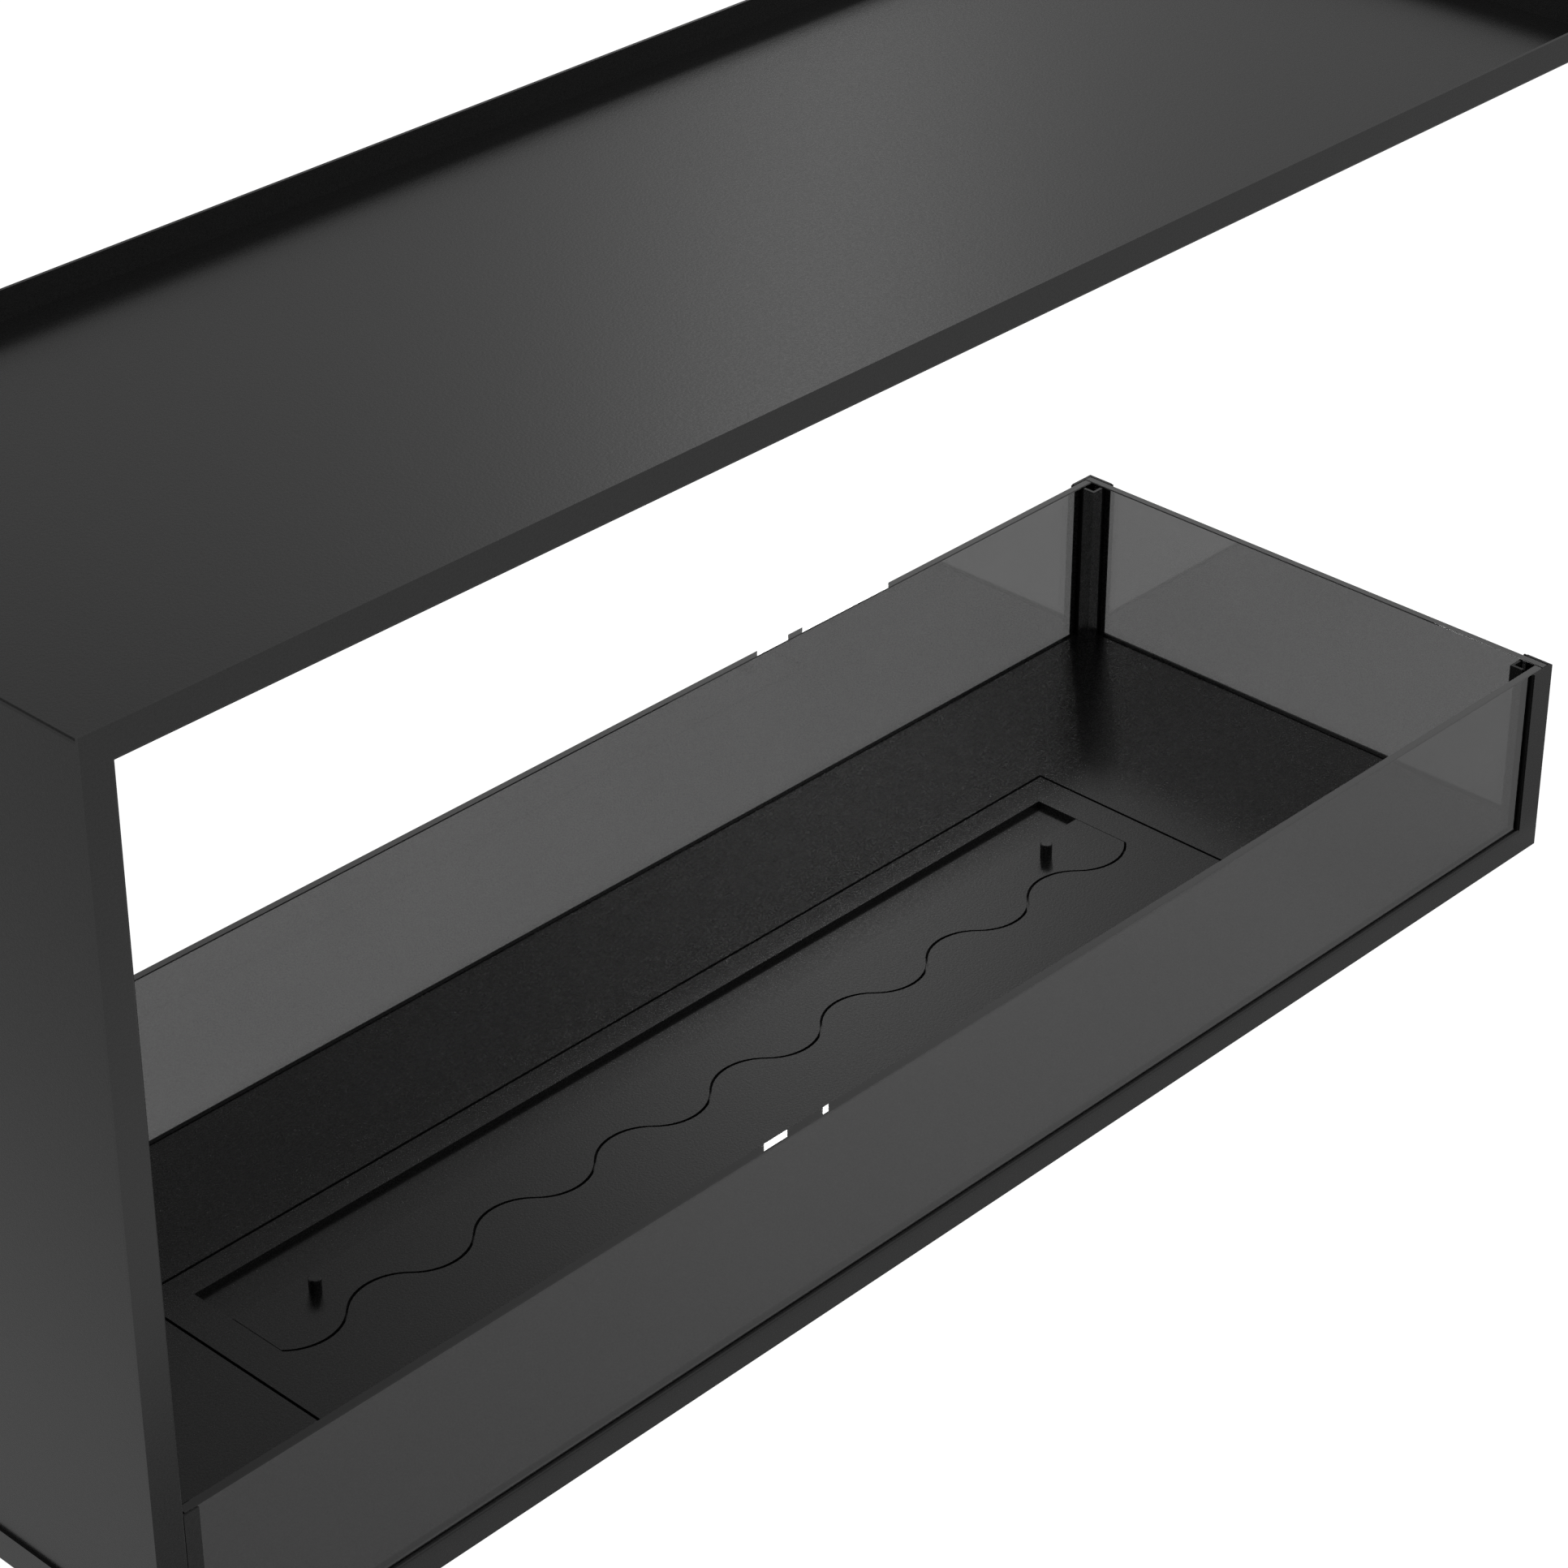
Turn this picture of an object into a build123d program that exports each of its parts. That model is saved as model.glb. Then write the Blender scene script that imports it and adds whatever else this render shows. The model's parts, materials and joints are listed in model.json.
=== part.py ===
from build123d import *
import os
from math import atan, sin

# Frame, right-handed, millimetres: X along the length (closed end at -X), -Y is the front, +Z up,
# origin on the floor under the middle of the frame.

# Frame
width = 1200            # overall length
depth = 400             # overall depth
height = 600            # overall height
sheet = 2               # sheet thickness of the frame, also its outside bend radius
flange = 20             # how far each flange stands out from the fire chamber
overhang = 2            # roof past the wall, and the base lip outside the wall
lip_height = 20         # base lip above the deck

# Glass and its corner posts
glass = 6               # pane thickness
glass_top = 140         # height of the panes and posts above the floor
glass_gap = 0.3         # clearance on each face of a pane
pane_ease = 0.6         # bevel along the top edges of a pane
corner_gap = 0.5        # between the panes where they meet
post_leg = 20           # outer angle leg
post_sheet = 2          # outer angle thickness
inner_sheet = 2         # inner angle thickness
seal = 2                # seal between an inner angle and a pane
bead = 2                # width of the bead beside an outer angle
bead_set_back = 0.6     # bead face behind the frame's face
seat = 0.5              # height of the strip under a pane
channel_leg = 10        # flange width of the wall channels
channel_sheet = 1.2     # thickness of the wall channels
channel_drop = 0.5      # channel top below the top of the pane

# Burner insert
plate_length = 800
plate_depth = 160
plate_sheet = 2
plate_skirt = 8         # height of its folded edge
seam = 2                # gap between the burner plate and the deck
recess_end_margin = 25  # plate left at each end of the recess
recess_back_margin = 20 # the same behind it
recess_depth = 4        # top of the plate to the floor of the recess
wave_middle = -17.1     # middle line of the wavy front edge
wave_rise = 10.75       # crest above the middle line
wave_count = 7.5        # waves along the opening
tray_sheet = 1.5
mouth_end_margin = 35   # floor of the recess left at each end of the burning slot
mouth_width = 18
mouth_from_wave = 14.1  # burning slot behind the middle line of the wavy edge
fuel_end_margin = 15    # fuel tray past the burning slot at each end
fuel_margin = 12        # the same at the front and back
fuel_clear = 2.5        # underside of the fuel tray above the floor
fuel_sheet = 1.2
grid_sheet = 1
grid_pitch = 20
grid_slot = 14          # length of each slot of the grid
grid_slot_width = 4
absorber_gap = 0.5

# Lid
lid_sheet = 3
lid_depth = 43.6        # from the middle line of the recess's wavy edge to the lid's straight back edge
lid_end_gap = 0.5
wave_gap = 2            # between the wavy edges, along Y
runner_length = 20
runner_depth = 20
runner_margin = 6       # runner in from the end of the lid
runner_inset = 2.5      # runner in from the back edge of the lid
pin_d = 8
pin_height = 10
pin_ease = 0.5
pin_end_margin = 50     # pin axis in from the end of the recess
pin_from_back = 15.5    # pin axis to the back edge of the lid
screw_d = 4
screw_depth = 6         # screw inside the pin
screw_head_d = 7.5      # countersunk into the lid from below
screw_gap = 0.05        # radial clearance round a screw

# Cradle, stiffeners and fasteners
cradle_sheet = 1.5
cradle_ledge = 10       # ledge under the plate's skirt
cradle_flange = 15
stud_d = 4
stud_count = 4          # along each long side
stud_end_margin = 40    # first stud in from the end of the plate
nut_flats = 7
nut_height = 3.2
stud_end = 1.5          # stud past its nut
rivet_d = 5
rivet_pitch = 100
rivet_count = 4
rivet_head_d = 9.5
rivet_head = 1.5
stiffener_width = 30
stiffener_height = 14
stiffener_sheet = 1.5

# Planes and places that follow
left = -width / 2
right = width / 2
front = -depth / 2
back = depth / 2
wall_x = left + flange              # chamber face of the wall
deck_z = flange                     # top of the deck
roof_z = height - flange            # underside of the roof
inner_y = back - sheet              # inner faces of the front and back flanges
burner_x = (wall_x + right) / 2     # the burner sits in the middle of the deck
floor_z = deck_z - recess_depth     # floor of the recess
plate_under = deck_z - plate_sheet
fuel_top = floor_z - tray_sheet
pane_out = post_sheet + glass_gap   # outer face of a pane, in from the frame's face
pane_in = pane_out + glass
pane_z = deck_z + seat
channel_end = wall_x + channel_sheet + 2 * glass_gap
lid_top = deck_z
lid_under = lid_top - lid_sheet
recess_half = plate_length / 2 - recess_end_margin
recess_back = plate_depth / 2 - recess_back_margin
mouth_half = recess_half - mouth_end_margin
mouth_front = wave_middle + mouth_from_wave
mouth_back = mouth_front + mouth_width
fuel_bottom = fuel_clear
lid_half = recess_half - lid_end_gap
lid_back = wave_middle + lid_depth
cradle_half = plate_length / 2 + seam + cradle_flange + cradle_sheet


def block(x0, x1, y0, y1, z0, z1):
    """Box between two opposite corners."""
    return Pos(x0, y0, z0) * Box(x1 - x0, y1 - y0, z1 - z0, align=(Align.MIN, Align.MIN, Align.MIN))


def disc(x, y, z0, z1, diameter):
    """Upright cylinder."""
    return Pos(x, y, z0) * Cylinder(diameter / 2, z1 - z0, align=(Align.CENTER, Align.CENTER, Align.MIN))


def to_back(shape):
    """The same piece on the other side of the middle plane."""
    return mirror(shape, Plane.XZ)


def group(shapes):
    """Separate solids in one node."""
    return Compound(list(shapes))


def folded_section():
    """Flat sheet with a flange at each side, folded away from the chamber, for a plane at the chamber face."""
    half = depth / 2
    outline = [
        Line((-half, flange), (-half, sheet)),
        ThreePointArc((-half, sheet), (-half + sheet * (1 - 0.5 ** 0.5), sheet * (1 - 0.5 ** 0.5)), (-half + sheet, 0)),
        Line((-half + sheet, 0), (half - sheet, 0)),
        ThreePointArc((half - sheet, 0), (half - sheet * (1 - 0.5 ** 0.5), sheet * (1 - 0.5 ** 0.5)), (half, sheet)),
        Line((half, sheet), (half, flange)),
        Line((half, flange), (half - sheet, flange)),
        Line((half - sheet, flange), (half - sheet, sheet)),
        Line((half - sheet, sheet), (-half + sheet, sheet)),
        Line((-half + sheet, sheet), (-half + sheet, flange)),
        Line((-half + sheet, flange), (-half, flange)),
    ]
    return make_face(Wire(outline))


def mitre(above):
    """Wedge on one side of the slanted cut where the wall meets the roof."""
    if above:
        corners = [(left, height), (right, height), (right, roof_z - sheet), (wall_x + sheet, roof_z - sheet)]
    else:
        corners = [(left, height), (left, 0), (wall_x + sheet, 0), (wall_x + sheet, roof_z - sheet)]
    return Plane.XZ * Pos(0, 0, -depth) * extrude(make_face(Polyline(*corners, close=True)), 2 * depth)


def rivet_places():
    first = -rivet_pitch * (rivet_count - 1) / 2
    return [first + rivet_pitch * i for i in range(rivet_count)]


def rivet_z():
    return deck_z + lip_height / 2


def across_wall(y, diameter, x0, x1):
    """Cylinder along X through the wall at one rivet."""
    return Pos(x0, y, rivet_z()) * Rot(0, 90, 0) * Cylinder(
        diameter / 2, x1 - x0, align=(Align.CENTER, Align.CENTER, Align.MIN))


# Frame

def top_pan():
    fold = Plane(origin=(left, 0, roof_z), x_dir=(0, 1, 0), z_dir=(1, 0, 0))
    pan = fold * extrude(folded_section(), width) & mitre(True)
    sheet_left = wall_x - sheet - overhang
    pan -= block(left, wall_x, -inner_y, inner_y, roof_z, height)
    edge = block(sheet_left, wall_x + sheet, -inner_y, inner_y, roof_z, roof_z + sheet)
    rounded = edge.edges().filter_by(Axis.Y).group_by(Axis.X)[0].sort_by(Axis.Z)[-1]
    pan += fillet(rounded, 0.9 * sheet)
    pan += block(right - sheet, right, -inner_y, inner_y, roof_z, height)
    return pan


def left_wall():
    fold = Plane(origin=(wall_x, 0, 0), x_dir=(0, 1, 0), z_dir=(0, 0, 1))
    wall = fold * extrude(folded_section(), height) & mitre(False)
    wall -= block(left, wall_x + sheet, -inner_y, inner_y, 0, deck_z)
    wall -= block(left, wall_x + sheet, -inner_y, inner_y, roof_z, height)
    for y in rivet_places():
        wall -= across_wall(y, rivet_d, wall_x - 2 * sheet, wall_x + sheet)
    return wall


def post_angle(z0, z1):
    """Outer angle of the front right corner."""
    angle = block(right - post_leg, right, front, front + post_leg, z0, z1)
    return angle - block(right - post_leg, right - post_sheet, front + post_sheet, front + post_leg, z0, z1)


def base_pan():
    fold = Plane(origin=(right, 0, deck_z), x_dir=(0, 1, 0), z_dir=(-1, 0, 0))
    pan = fold * extrude(folded_section(), right - wall_x)
    pan += block(right - sheet, right, -inner_y, inner_y, 0, deck_z)
    lip_x = wall_x - sheet - overhang
    lip = block(lip_x, wall_x + sheet, -inner_y, inner_y, deck_z - sheet, deck_z)
    lip += block(lip_x, lip_x + sheet, -inner_y, inner_y, deck_z - sheet, deck_z + lip_height)
    bend = lip.edges().filter_by(Axis.Y).group_by(Axis.X)[0].sort_by(Axis.Z)[0]
    pan += fillet(bend, 0.9 * sheet)
    corner = post_angle(0, deck_z)
    pan -= corner
    pan -= to_back(corner)
    pan -= block(burner_x - plate_length / 2 - seam, burner_x + plate_length / 2 + seam,
                 -plate_depth / 2 - seam, plate_depth / 2 + seam, 0, deck_z)
    for y in rivet_places():
        pan -= across_wall(y, rivet_d, lip_x - sheet, wall_x - sheet)
    return pan


def wall_rivets():
    """Blind rivets, ground flush outside the lip."""
    rivets = []
    for y in rivet_places():
        rivet = across_wall(y, rivet_d, wall_x - sheet - overhang, wall_x + rivet_head)
        rivet += across_wall(y, rivet_head_d, wall_x, wall_x + rivet_head)
        rivets.append(rivet)
    return group(rivets)


def base_stiffener(x):
    """Channel under the deck about x, open below."""
    z1 = deck_z - sheet
    x0 = x - stiffener_width / 2
    x1 = x + stiffener_width / 2
    bar = block(x0, x1, -inner_y, inner_y, z1 - stiffener_height, z1)
    return bar - block(x0 + stiffener_sheet, x1 - stiffener_sheet, -inner_y, inner_y,
                       z1 - stiffener_height, z1 - stiffener_sheet)


def ring(outer, inner, z0, z1):
    """Rectangular ring round the burner; sizes are distances outside the edge of the plate."""
    hx = plate_length / 2
    hy = plate_depth / 2
    solid = block(burner_x - hx - outer, burner_x + hx + outer, -hy - outer, hy + outer, z0, z1)
    return solid - block(burner_x - hx - inner, burner_x + hx + inner, -hy - inner, hy + inner, z0, z1)


def stud_places():
    first = -plate_length / 2 + stud_end_margin
    pitch = -2 * first / (stud_count - 1)
    y = plate_depth / 2 + seam + cradle_sheet + cradle_flange / 2
    return [(burner_x + first + pitch * i, side * y) for i in range(stud_count) for side in (-1, 1)]


def burner_cradle():
    ledge_z = deck_z - plate_skirt
    under = deck_z - sheet
    web = seam + cradle_sheet
    cradle = ring(web, seam, ledge_z - cradle_sheet, under)
    cradle += ring(web, seam - cradle_ledge, ledge_z - cradle_sheet, ledge_z)
    cradle += ring(web + cradle_flange, seam, under - cradle_sheet, under)
    for x, y in stud_places():
        cradle -= disc(x, y, under - 2 * cradle_sheet, under, stud_d + 2 * screw_gap)
    return cradle


def cradle_studs():
    under = deck_z - sheet
    bottom = under - cradle_sheet - nut_height - stud_end
    return group(disc(x, y, bottom, under, stud_d) for x, y in stud_places())


def cradle_nuts():
    top = deck_z - sheet - cradle_sheet
    hexagon = RegularPolygon(nut_flats / 2, 6, major_radius=False)
    nut = extrude(hexagon - Circle(stud_d / 2 + screw_gap), nut_height)
    return group(Pos(x, y, top - nut_height) * nut for x, y in stud_places())


# Corner posts, channels and strips

def front_post():
    return post_angle(0, glass_top)


def post_corner():
    """Where the inner angle's legs meet: x, y, and how far each leg reaches."""
    reach = post_leg - pane_in - glass_gap - seal
    return right - post_leg, front + post_leg, reach


def front_post_inner():
    x, y, reach = post_corner()
    angle = block(x, x + reach, y - inner_sheet, y, deck_z, glass_top)
    return angle + block(x, x + inner_sheet, y - reach, y, deck_z, glass_top)


def front_post_seals():
    x, y, reach = post_corner()
    along_x = block(x + reach, x + reach + seal, y - inner_sheet, y, deck_z, glass_top)
    along_y = block(x, x + inner_sheet, y - reach - seal, y - reach, deck_z, glass_top)
    return group([along_x, along_y])


def front_post_beads():
    x = right - post_leg
    y = front + post_leg
    on_front = block(x - bead, x, front + bead_set_back, front + post_sheet, deck_z, glass_top)
    on_right = block(right - post_sheet, right - bead_set_back, y, y + bead, deck_z, glass_top)
    return group([on_front, on_right])


def front_channel():
    outer = front + pane_out - glass_gap - channel_sheet
    inner = front + pane_in + glass_gap + channel_sheet
    top = glass_top - channel_drop
    bar = block(wall_x, wall_x + channel_leg, outer, inner, deck_z, top)
    return bar - block(wall_x + channel_sheet, wall_x + channel_leg,
                       outer + channel_sheet, inner - channel_sheet, deck_z, top)


def front_seat():
    return block(channel_end, right - pane_in - corner_gap, front + pane_out, front + pane_in, deck_z, pane_z)


def right_seat():
    return block(right - pane_in, right - pane_out, front + pane_out, back - pane_out, deck_z, pane_z)


# Panes

def pane(x0, x1, y0, y1, along):
    sheet_of_glass = block(x0, x1, y0, y1, pane_z, glass_top)
    top_edges = sheet_of_glass.edges().filter_by(along).group_by(Axis.Z)[-1]
    return chamfer(top_edges, pane_ease)


def front_glass():
    return pane(channel_end, right - pane_in - corner_gap, front + pane_out, front + pane_in, Axis.X)


def right_glass():
    return pane(right - pane_in, right - pane_out, front + pane_out, back - pane_out, Axis.Y)


# Burner insert, drawn about the middle of the deck and moved to burner_x

def wave_edges():
    """Wavy edge from end to end: equal arcs, bulging by turns to the back and to the front."""
    half_wave = recess_half / wave_count
    count = round(2 * wave_count)
    start = -recess_half
    edges = []
    for i in range(count):
        x0 = start + i * half_wave
        side = 1 if (i - (count - 1) // 2) % 2 == 0 else -1
        edges.append(ThreePointArc((x0, wave_middle), (x0 + half_wave / 2, wave_middle + side * wave_rise),
                                   (x0 + half_wave, wave_middle)))
    return edges


def recess_outline(back_edge):
    """Area between the wavy edge and a straight edge behind it."""
    edges = wave_edges() + [
        Line((recess_half, wave_middle), (recess_half, back_edge)),
        Line((recess_half, back_edge), (-recess_half, back_edge)),
        Line((-recess_half, back_edge), (-recess_half, wave_middle)),
    ]
    return make_face(Wire(edges))


def at_burner(shape):
    return Pos(burner_x, 0, 0) * shape


def burner_plate():
    hx = plate_length / 2
    hy = plate_depth / 2
    plate = block(-hx, hx, -hy, hy, deck_z - plate_skirt, deck_z)
    plate -= block(-hx + plate_sheet, hx - plate_sheet, -hy + plate_sheet, hy - plate_sheet,
                   deck_z - plate_skirt, plate_under)
    plate -= Pos(0, 0, plate_under) * extrude(recess_outline(recess_back), plate_sheet)
    return at_burner(plate)


def tray_front():
    return wave_middle - wave_rise - 2 * tray_sheet


def recess_floor():
    """Sheet with the burning slot in it."""
    hx = recess_half + tray_sheet
    sheet_floor = block(-hx, hx, tray_front(), recess_back + tray_sheet, fuel_top, floor_z)
    return at_burner(sheet_floor - block(-mouth_half, mouth_half, mouth_front, mouth_back, fuel_top, floor_z))


def recess_wall():
    """Strip on edge under the plate, all round the recess."""
    hx = recess_half
    y0 = wave_middle - tray_sheet
    ends_and_back = block(-hx - tray_sheet, hx + tray_sheet, y0, recess_back + tray_sheet, floor_z, plate_under)
    ends_and_back -= block(-hx, hx, y0, recess_back, floor_z, plate_under)
    opening = Pos(0, 0, floor_z) * extrude(recess_outline(recess_back), plate_under - floor_z)
    return at_burner(ends_and_back + (Pos(0, -tray_sheet, 0) * opening - opening))


def fuel_box(inset, z0, z1):
    """Upright box inside or on the outline of the fuel tray."""
    half = mouth_half + fuel_end_margin - inset
    return block(-half, half, mouth_front - fuel_margin + inset, mouth_back + fuel_margin - inset, z0, z1)


def fuel_tray():
    tray = fuel_box(0, fuel_bottom, fuel_top) - fuel_box(fuel_sheet, fuel_bottom + fuel_sheet, fuel_top)
    return at_burner(tray)


def flame_grid():
    grid = fuel_box(fuel_sheet, fuel_top - grid_sheet, fuel_top)
    middle = (mouth_front + mouth_back) / 2
    count = int(2 * mouth_half // grid_pitch)
    first = -grid_pitch * (count - 1) / 2
    slot = extrude(SlotOverall(grid_slot, grid_slot_width, rotation=90), grid_sheet)
    for i in range(count):
        grid -= Pos(first + i * grid_pitch, middle, fuel_top - grid_sheet) * slot
    return at_burner(grid)


def absorber():
    return at_burner(fuel_box(fuel_sheet + absorber_gap, fuel_bottom + fuel_sheet, fuel_top - grid_sheet))


# Lid

def pin_places():
    return [(side * (recess_half - pin_end_margin), lid_back - pin_from_back) for side in (-1, 1)]


def countersink(x, y, gap):
    """Cone of a screw head in the underside of the lid, larger by the gap all round."""
    cone_height = (screw_head_d - screw_d) / 2
    cone = Cone(screw_head_d / 2 + gap, screw_d / 2 + gap, cone_height,
                align=(Align.CENTER, Align.CENTER, Align.MIN))
    return Pos(x, y, lid_under) * cone


def lid_plate():
    outline = Pos(0, wave_gap, lid_under) * extrude(recess_outline(recess_back), lid_sheet)
    lid = outline & block(-lid_half, lid_half, tray_front(), lid_back, lid_under, lid_top)
    for x, y in pin_places():
        lid -= disc(x, y, lid_under, lid_top, screw_d + 2 * screw_gap)
        lid -= countersink(x, y, screw_gap)
    return at_burner(lid)


def lid_runners():
    """Glide strips that carry the lid on the floor of the recess."""
    y1 = lid_back - runner_inset
    x1 = lid_half - runner_margin
    runner = block(x1 - runner_length, x1, y1 - runner_depth, y1, floor_z, lid_under)
    return at_burner(group([runner, mirror(runner, Plane.YZ)]))


def lid_pin(x, y):
    pin = disc(x, y, lid_top, lid_top + pin_height, pin_d)
    rim = pin.edges().group_by(Axis.Z)[-1]
    pin = chamfer(rim, pin_ease)
    pin -= disc(x, y, lid_top, lid_top + screw_depth, screw_d + 2 * screw_gap)
    return at_burner(pin)


def pin_screws():
    screws = []
    for x, y in pin_places():
        screw = disc(x, y, lid_under, lid_top + screw_depth, screw_d)
        screw += countersink(x, y, 0)
        screws.append(screw)
    return at_burner(group(screws))


left_pin, right_pin = pin_places()
left_middle = (wall_x + burner_x - cradle_half) / 2
right_middle = (burner_x + cradle_half + right - sheet) / 2

nodes = {
    "top_pan": top_pan(),
    "left_wall": left_wall(),
    "base_pan": base_pan(),
    "wall_rivets": wall_rivets(),
    "base_stiffener_left": base_stiffener(left_middle),
    "base_stiffener_right": base_stiffener(right_middle),
    "burner_cradle": burner_cradle(),
    "cradle_studs": cradle_studs(),
    "cradle_nuts": cradle_nuts(),
    "front_post": front_post(),
    "back_post": to_back(front_post()),
    "front_post_inner": front_post_inner(),
    "back_post_inner": to_back(front_post_inner()),
    "front_post_seals": front_post_seals(),
    "back_post_seals": to_back(front_post_seals()),
    "front_post_beads": front_post_beads(),
    "back_post_beads": to_back(front_post_beads()),
    "front_channel": front_channel(),
    "back_channel": to_back(front_channel()),
    "front_seat": front_seat(),
    "back_seat": to_back(front_seat()),
    "right_seat": right_seat(),
    "front_glass": front_glass(),
    "back_glass": to_back(front_glass()),
    "right_glass": right_glass(),
    "burner_plate": burner_plate(),
    "recess_floor": recess_floor(),
    "recess_wall": recess_wall(),
    "fuel_tray": fuel_tray(),
    "absorber": absorber(),
    "flame_grid": flame_grid(),
    "lid_plate": lid_plate(),
    "lid_runners": lid_runners(),
    "lid_pin_left": lid_pin(*left_pin),
    "lid_pin_right": lid_pin(*right_pin),
    "pin_screws": pin_screws(),
}

os.makedirs("parts", exist_ok=True)
for name, shape in nodes.items():
    export_step(shape, f"parts/{name}.step")
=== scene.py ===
import bmesh
import bpy
import json
from math import cos, pi, radians, sin
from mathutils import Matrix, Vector

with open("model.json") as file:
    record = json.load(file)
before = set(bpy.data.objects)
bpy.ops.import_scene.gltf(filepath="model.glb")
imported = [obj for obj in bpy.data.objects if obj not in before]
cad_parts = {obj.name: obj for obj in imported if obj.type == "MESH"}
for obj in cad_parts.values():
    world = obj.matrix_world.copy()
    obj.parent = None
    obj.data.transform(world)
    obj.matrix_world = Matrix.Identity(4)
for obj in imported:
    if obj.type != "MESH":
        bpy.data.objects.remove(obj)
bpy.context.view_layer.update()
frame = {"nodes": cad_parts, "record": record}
nodes = frame["nodes"]

# Camera
camera_at = (-1.6193, -1.5926, 1.6065)
camera_turn = (58.7461, 0.0, -46.6607)   # degrees
camera_lens = 102.22                     # on a 36 mm sensor
camera_shift = (-0.00026, 0.00026)       # share of the picture's width

# Studio
floor_size = 60.0
floor_z = -0.0004                        # the floor the camera sees
floor_glow = 1.0                         # before any light falls on it
floor_grey = 0.5
mirrored_floor_z = -0.0006               # the floor the object mirrors, glowing with painted light and shade
# Glow levels of the mirrored floor are painted light and shade: dimmer close in front of the object as painted
# shade, brighter further out, behind and beyond the closed end.
foot_lift = 0.20                         # its glow right at the foot of the front
near_painted_shade = (0.092, 0.14)                # painted shade close in front, at the closed and the open end
middle_lift = 0.34                       # further out in front
far_lift = 0.19
back_lift = 0.32                         # behind
left_lift = (0.16, 0.33)                 # beyond the closed end, far and near
far_to_middle_y = (-0.9, -0.55)          # where one glow turns into the next
middle_to_near_y = (-0.5, -0.37)
near_to_foot_y = (-0.2190, -0.2165)
front_to_back_y = (-0.2, -0.12)
along_front_x = (-0.5, 0.4)
beyond_end_x = (-1.0, -0.7)
closed_end_x = (-0.6, -0.58)
sky_low = 0.34                           # sky near the horizon
sky_high = 0.09                          # and overhead
sky_turn = (0.44, 0.66)                  # sine of the elevation where it changes
sky_bright_side = 47.0                   # azimuth of the brighter side
sky_dim = 0.90                           # share of the sky's light left on the other side
sky_side_turn = (-0.3, 0.4)              # cosine of the angle from the brighter side where it changes
window_far = 60.0
windows = [                              # azimuth from, to, elevation from, to in degrees; strength
    (46.29, 46.77, 18.0, 27.5, 0.95),
    (46.98, 48.31, 18.0, 27.5, 0.95),
    (46.29, 46.77, 27.5, 33.5, 4.8),
    (46.38, 46.76, 33.5, 37.0, 4.8),
    (46.98, 48.31, 27.5, 33.5, 4.8),
    (47.35, 47.44, 33.5, 37.0, 4.8),
]

scene = bpy.context.scene
scene.view_settings.view_transform = "Standard"
scene.view_settings.look = "None"
scene.view_settings.exposure = 0.0
scene.view_settings.gamma = 1.0


# Materials

class Nodes:
    """Short hand for one material's node tree."""

    def __init__(self, name):
        self.material = bpy.data.materials.new(name)
        self.material.use_nodes = True
        self.tree = self.material.node_tree
        self.shader = self.tree.nodes["Principled BSDF"]
        self.place = self.add("ShaderNodeTexCoord").outputs["Object"]

    def add(self, kind, **settings):
        node = self.tree.nodes.new(kind)
        for key, value in settings.items():
            setattr(node, key, value)
        return node

    def link(self, a, b):
        self.tree.links.new(a, b)

    def noise(self, scale, detail=3.0, rough=0.5):
        node = self.add("ShaderNodeTexNoise")
        node.inputs["Scale"].default_value = scale
        node.inputs["Detail"].default_value = detail
        node.inputs["Roughness"].default_value = rough
        self.link(self.place, node.inputs["Vector"])
        return node.outputs["Fac"]

    def spread(self, value, low, high, start=0.3, end=0.7):
        node = self.add("ShaderNodeMapRange")
        self.link(value, node.inputs["Value"])
        node.inputs["From Min"].default_value = start
        node.inputs["From Max"].default_value = end
        node.inputs["To Min"].default_value = low
        node.inputs["To Max"].default_value = high
        return node.outputs["Result"]

    def colours(self, value, dark, light):
        node = self.add("ShaderNodeMix", data_type="RGBA")
        self.link(value, node.inputs["Factor"])
        node.inputs["A"].default_value = (*dark, 1.0)
        node.inputs["B"].default_value = (*light, 1.0)
        return node.outputs["Result"]

    def blend(self, share, a, b):
        """A number between a and b."""
        node = self.add("ShaderNodeMix", data_type="FLOAT")
        self.link(share, node.inputs["Factor"])
        for name, value in (("A", a), ("B", b)):
            if isinstance(value, float):
                node.inputs[name].default_value = value
            else:
                self.link(value, node.inputs[name])
        return node.outputs["Result"]

    def bump(self, value, distance, strength=1.0, after=None):
        node = self.add("ShaderNodeBump")
        node.inputs["Distance"].default_value = distance
        node.inputs["Strength"].default_value = strength
        self.link(value, node.inputs["Height"])
        if after is not None:
            self.link(after, node.inputs["Normal"])
        return node.outputs["Normal"]

    def set(self, **values):
        for key, value in values.items():
            self.shader.inputs[key.replace("_", " ")].default_value = value


def powder_coat(name, dark, light, rough_low, rough_high):
    """Fine-grained black powder coat."""
    m = Nodes(name)
    grain = m.noise(650.0, 3.0)
    peel = m.noise(260.0, 2.0)
    m.link(m.colours(m.spread(grain, 0.0, 1.0), dark, light), m.shader.inputs["Base Color"])
    m.link(m.spread(grain, rough_low, rough_high), m.shader.inputs["Roughness"])
    m.link(m.bump(grain, 0.0001, 0.4, m.bump(peel, 0.00005, 0.2)), m.shader.inputs["Normal"])
    m.set(Specular_IOR_Level=1.0)
    return m.material


def smoked_glass(name):
    """Dark glass with a reflecting coating."""
    m = Nodes(name)
    tint = m.noise(9.0, 2.0)
    m.link(m.colours(m.spread(tint, 0.0, 1.0), (0.39, 0.39, 0.39), (0.41, 0.41, 0.41)),
           m.shader.inputs["Base Color"])
    m.set(Roughness=0.01, Transmission_Weight=1.0, IOR=1.5, Coat_Weight=1.0, Coat_IOR=2.6, Coat_Roughness=0.0)
    return m.material


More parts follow.
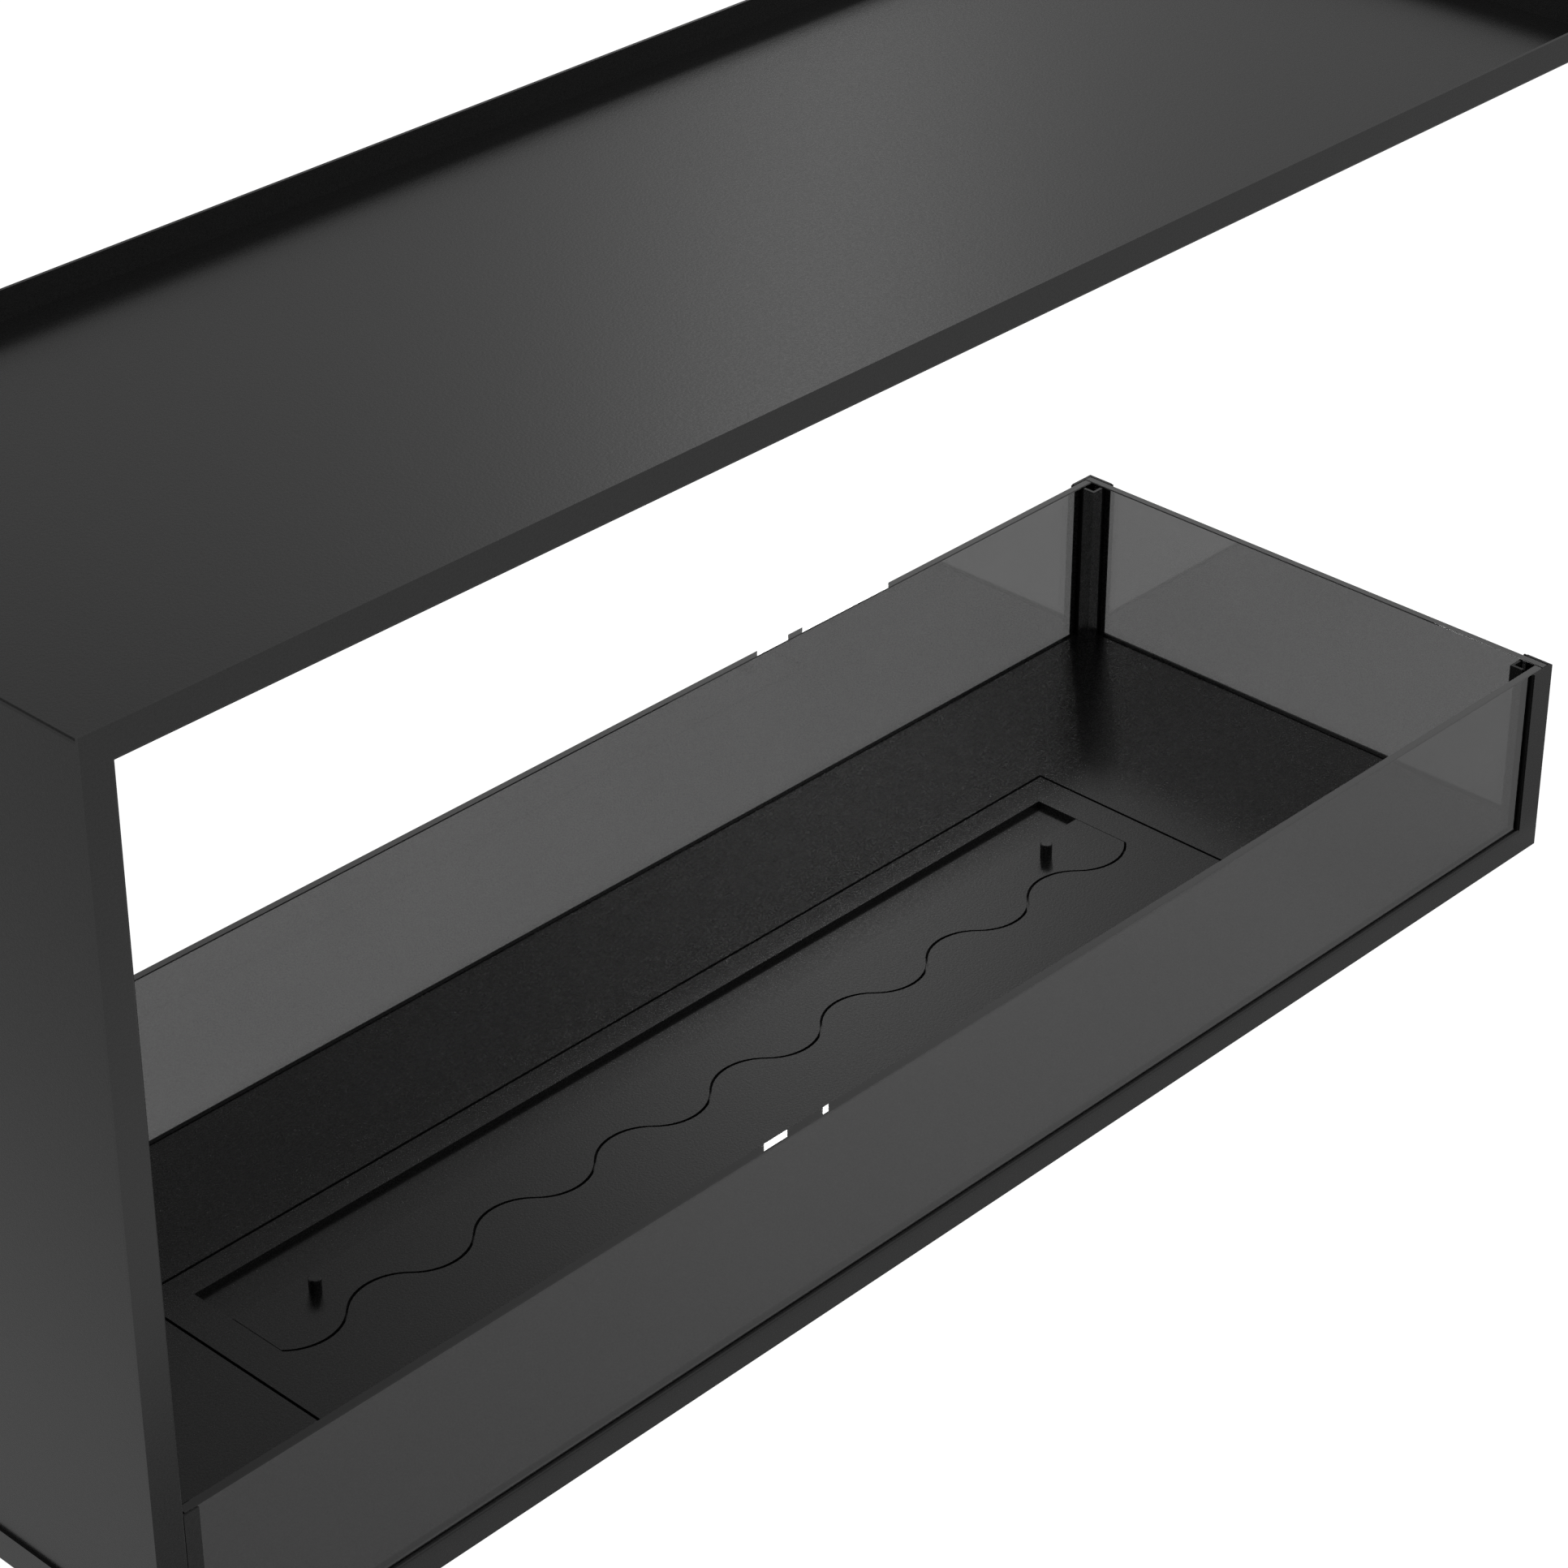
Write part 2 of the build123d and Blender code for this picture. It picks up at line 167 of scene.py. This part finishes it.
def rubber(name):
    m = Nodes(name)
    pores = m.noise(1500.0, 3.0)
    m.link(m.colours(m.spread(pores, 0.0, 1.0), (0.007, 0.007, 0.007), (0.013, 0.013, 0.013)),
           m.shader.inputs["Base Color"])
    m.link(m.bump(pores, 0.0001, 0.5), m.shader.inputs["Normal"])
    m.shader.inputs["Roughness"].default_value = 0.8
    m.shader.inputs["Specular IOR Level"].default_value = 0.1
    return m.material


def zinc(name):
    m = Nodes(name)
    spangle = m.noise(400.0, 3.0)
    m.link(m.colours(m.spread(spangle, 0.0, 1.0), (0.42, 0.43, 0.44), (0.6, 0.61, 0.62)),
           m.shader.inputs["Base Color"])
    m.link(m.spread(spangle, 0.28, 0.42), m.shader.inputs["Roughness"])
    m.shader.inputs["Metallic"].default_value = 1.0
    return m.material


def fibre(name):
    m = Nodes(name)
    strands = m.noise(700.0, 6.0, 0.7)
    m.link(m.colours(m.spread(strands, 0.0, 1.0), (0.55, 0.53, 0.48), (0.86, 0.85, 0.8)),
           m.shader.inputs["Base Color"])
    m.link(m.bump(strands, 0.0006), m.shader.inputs["Normal"])
    m.shader.inputs["Roughness"].default_value = 0.95
    return m.material


coat = powder_coat("powder_coat", (0.016, 0.016, 0.016), (0.030, 0.030, 0.030), 0.255, 0.295)
glass = smoked_glass("smoked_glass")
seal = rubber("rubber")
plated = zinc("zinc_plate")
wick = fibre("ceramic_fibre")

finishes = {
    "black_powder_coat": coat,
    "smoked_glass": glass,
    "black_rubber": seal,
    "zinc_steel": plated,
    "ceramic_fibre": wick,
}
for part in frame["record"]["subparts"]:
    mesh = nodes[part["node"]].data
    mesh.materials.clear()
    mesh.materials.append(finishes[part["material_slot"]])


# Floor, light and camera

def seen_by(obj, camera, reflections):
    """Which rays meet a stage object."""
    obj.visible_camera = camera
    obj.visible_diffuse = reflections
    obj.visible_glossy = reflections
    obj.visible_transmission = reflections
    obj.visible_shadow = False


def floor(name, z, glow):
    """Plane at a height, and its material."""
    h = floor_size / 2
    mesh = bpy.data.meshes.new(name)
    mesh.from_pydata([(-h, -h, z), (h, -h, z), (h, h, z), (-h, h, z)], [], [(0, 1, 2, 3)])
    obj = bpy.data.objects.new(name, mesh)
    scene.collection.objects.link(obj)
    m = Nodes(name)
    m.link(m.colours(m.noise(3.0), (floor_grey,) * 3, (floor_grey + 0.01,) * 3), m.shader.inputs["Base Color"])
    m.set(Roughness=0.9, Specular_IOR_Level=0.0, Emission_Color=(1, 1, 1, 1), Emission_Strength=glow)
    mesh.materials.append(m.material)
    return obj, m


def painted_glow_floor():
    """Floor only the object mirrors, glowing though it is no lamp: its glow is painted light and shade, dimmer
    close in front of the object as painted shade, brighter further out, behind and at the closed end.
    """
    obj, m = floor("floor_painted_glow", mirrored_floor_z, far_lift)
    split = m.add("ShaderNodeSeparateXYZ")
    m.link(m.place, split.inputs["Vector"])
    x, y = split.outputs["X"], split.outputs["Y"]
    far = m.spread(y, far_lift, middle_lift, *far_to_middle_y)
    # painted shade: the glow dims close in front of the object
    close = m.spread(x, *near_painted_shade, *along_front_x)
    near = m.blend(m.spread(y, 0.0, 1.0, *middle_to_near_y), far, close)
    front = m.blend(m.spread(y, 0.0, 1.0, *near_to_foot_y), near, foot_lift)
    beside = m.blend(m.spread(y, 0.0, 1.0, *front_to_back_y), front, back_lift)
    beyond = m.spread(x, *left_lift, *beyond_end_x)
    glow = m.blend(m.spread(x, 0.0, 1.0, *closed_end_x), beyond, beside)
    m.link(glow, m.shader.inputs["Emission Strength"])
    return obj


def backdrop():
    """White all round, for views that look past the floor."""
    mesh = bpy.data.meshes.new("backdrop")
    ball = bmesh.new()
    bmesh.ops.create_uvsphere(ball, u_segments=32, v_segments=16, radius=1.5 * window_far)
    ball.to_mesh(mesh)
    ball.free()
    obj = bpy.data.objects.new("backdrop", mesh)
    scene.collection.objects.link(obj)
    m = Nodes("backdrop")
    m.set(Base_Color=(0, 0, 0, 1), Specular_IOR_Level=0.0, Emission_Color=(1, 1, 1, 1), Emission_Strength=1.0)
    mesh.materials.append(m.material)
    return obj


def sky():
    """Soft light from all round, brighter near the horizon and on one side."""
    world = bpy.data.worlds.new("studio")
    world.use_nodes = True
    background = world.node_tree.nodes["Background"]
    background.inputs["Color"].default_value = (1.0, 1.0, 1.0, 1.0)
    tree = world.node_tree
    way = tree.nodes.new("ShaderNodeTexCoord")
    split = tree.nodes.new("ShaderNodeSeparateXYZ")
    fade = tree.nodes.new("ShaderNodeMapRange")
    fade.interpolation_type = "SMOOTHSTEP"
    fade.inputs["From Min"].default_value, fade.inputs["From Max"].default_value = sky_turn
    fade.inputs["To Min"].default_value = sky_low
    fade.inputs["To Max"].default_value = sky_high
    tree.links.new(way.outputs["Generated"], split.inputs["Vector"])
    tree.links.new(split.outputs["Z"], fade.inputs["Value"])
    side = tree.nodes.new("ShaderNodeVectorMath")
    side.operation = "DOT_PRODUCT"
    side.inputs[1].default_value = (sin(radians(sky_bright_side)), cos(radians(sky_bright_side)), 0.0)
    dim = tree.nodes.new("ShaderNodeMapRange")
    dim.interpolation_type = "SMOOTHSTEP"
    dim.inputs["From Min"].default_value, dim.inputs["From Max"].default_value = sky_side_turn
    dim.inputs["To Min"].default_value = sky_dim
    both = tree.nodes.new("ShaderNodeMath")
    both.operation = "MULTIPLY"
    tree.links.new(way.outputs["Generated"], side.inputs[0])
    tree.links.new(side.outputs["Value"], dim.inputs["Value"])
    tree.links.new(fade.outputs["Result"], both.inputs[0])
    tree.links.new(dim.outputs["Result"], both.inputs[1])
    tree.links.new(both.outputs["Value"], background.inputs["Strength"])
    scene.world = world


def window(name, az0, az1, el0, el1, strength):
    """Tall bright pane far behind the object."""
    az = radians((az0 + az1) / 2)
    el = radians((el0 + el1) / 2)
    toward = Vector((cos(el) * sin(az), cos(el) * cos(az), sin(el)))
    light = bpy.data.lights.new(name, "AREA")
    light.shape = "RECTANGLE"
    light.size = window_far * radians(az1 - az0) * cos(el)
    light.size_y = window_far * radians(el1 - el0)
    light.energy = strength * light.size * light.size_y * pi
    obj = bpy.data.objects.new(name, light)
    obj.location = toward * window_far
    obj.rotation_euler = toward.to_track_quat("Z", "Y").to_euler()
    scene.collection.objects.link(obj)


seen_by(floor("floor", floor_z, floor_glow)[0], True, False)
# floor whose glow is painted light and shade, seen only in reflections
seen_by(painted_glow_floor(), False, True)
seen_by(backdrop(), True, False)
sky()
for number, pane in enumerate(windows):
    window(f"window_{number}", *pane)

camera = bpy.data.cameras.new("camera")
camera.sensor_width = 36.0
camera.sensor_fit = "HORIZONTAL"
camera.lens = camera_lens
camera.shift_x, camera.shift_y = camera_shift
camera.clip_end = 500.0
eye = bpy.data.objects.new("camera", camera)
eye.location = camera_at
eye.rotation_euler = [radians(a) for a in camera_turn]
scene.collection.objects.link(eye)
scene.camera = eye
